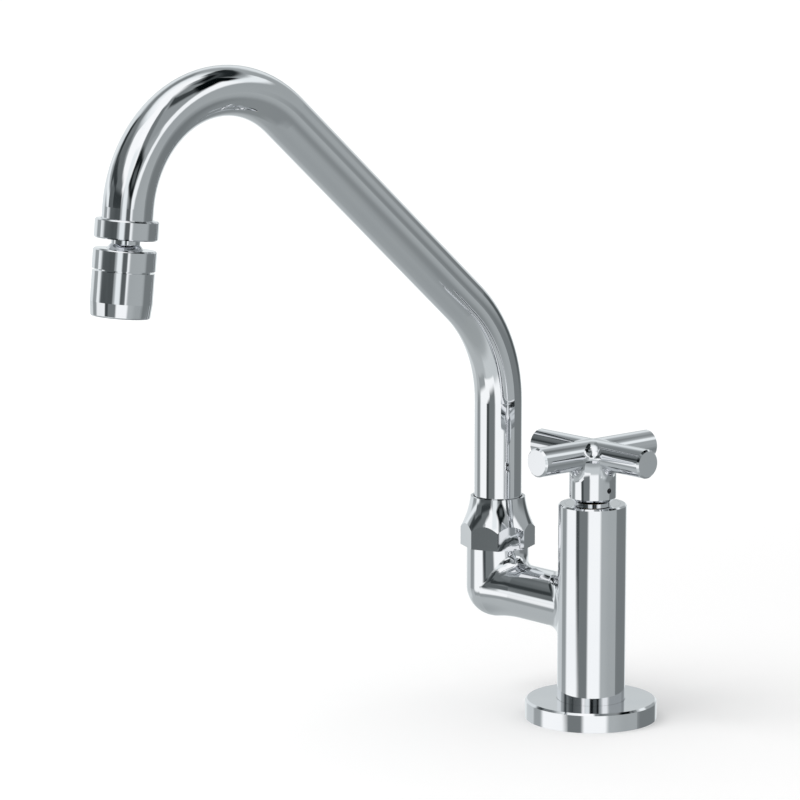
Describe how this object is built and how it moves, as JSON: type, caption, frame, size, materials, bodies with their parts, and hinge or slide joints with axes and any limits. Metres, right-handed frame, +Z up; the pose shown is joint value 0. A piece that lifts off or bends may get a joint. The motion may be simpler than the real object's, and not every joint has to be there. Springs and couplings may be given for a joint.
{
  "type": "swivel kitchen tap",
  "caption": "Chromed deck-mounted kitchen tap: round foot, upright column with cross handle, side riser with gland nut, bent swivel spout and tilting aerator.",
  "frame": {"origin": "on the column axis at the deck surface, where the underside of the foot flange rests", "axes": "+Z up along the column; -X towards the riser of the spout; -Y the direction in which the spout points at rest"},
  "size_m": [0.1154, 0.2667, 0.3555],
  "materials": {
    "chrome": "polished",
    "brass": "machined",
    "steel": "satin",
    "rubber": "matte",
    "nylon": "matte",
    "ceramic": "lapped",
    "insert_plastic": "satin"
  },
  "bodies": {
    "base": {"base_flange": "chrome", "flange_gasket": "rubber", "valve_body": "chrome", "inlet_shank": "brass", "shank_washer": "nylon", "deck_washer": "rubber", "clamp_washer": "steel", "back_nut": "brass", "lip_seal": "rubber", "fixed_disc": "ceramic", "cartridge_body": "brass", "cartridge_oring": "rubber", "bonnet_nut": "chrome", "spout_nut": "chrome", "thrust_washer": "nylon", "friction_ring": "nylon"},
    "handle": {"cross_handle": "chrome", "handle_screw": "steel", "spindle": "brass", "friction_washer": "nylon", "spindle_clip": "steel", "spindle_oring": "rubber", "moving_disc": "ceramic"},
    "spout": {"spout_tube": "chrome", "spout_ferrule": "brass", "ferrule_orings": "rubber", "outlet_collar": "chrome", "stem_washer": "nylon"},
    "ball": {"ball_stem": "chrome", "stem_clip": "steel", "stem_oring": "rubber"},
    "aerator": {"socket_housing": "chrome", "ball_seat": "nylon", "aerator_gasket": "rubber", "aerator_housing": "chrome", "flow_insert": "insert_plastic", "mesh_screen": "steel", "outlet_grid": "insert_plastic"}
  },
  "joints": [
    {"name": "handle_turn", "type": "hinge", "parent": "base", "child": "handle", "pos_m": [0, 0, 0.1225], "axis": [0, 0, 1], "range_deg": [0, 90]},
    {"name": "spout_swivel", "type": "hinge", "parent": "base", "child": "spout", "pos_m": [-0.063, 0, 0.081], "axis": [0, 0, 1], "continuous": true},
    {"name": "aerator_turn", "type": "hinge", "parent": "spout", "child": "ball", "pos_m": [-0.063, -0.21629, 0.22446], "axis": [0, 0.1063, 0.9943], "continuous": true},
    {"name": "aerator_tilt", "type": "hinge", "parent": "ball", "child": "aerator", "pos_m": [-0.063, -0.21629, 0.22446], "axis": [1, 0, 0], "range_deg": [-15, 15]}
  ]
}
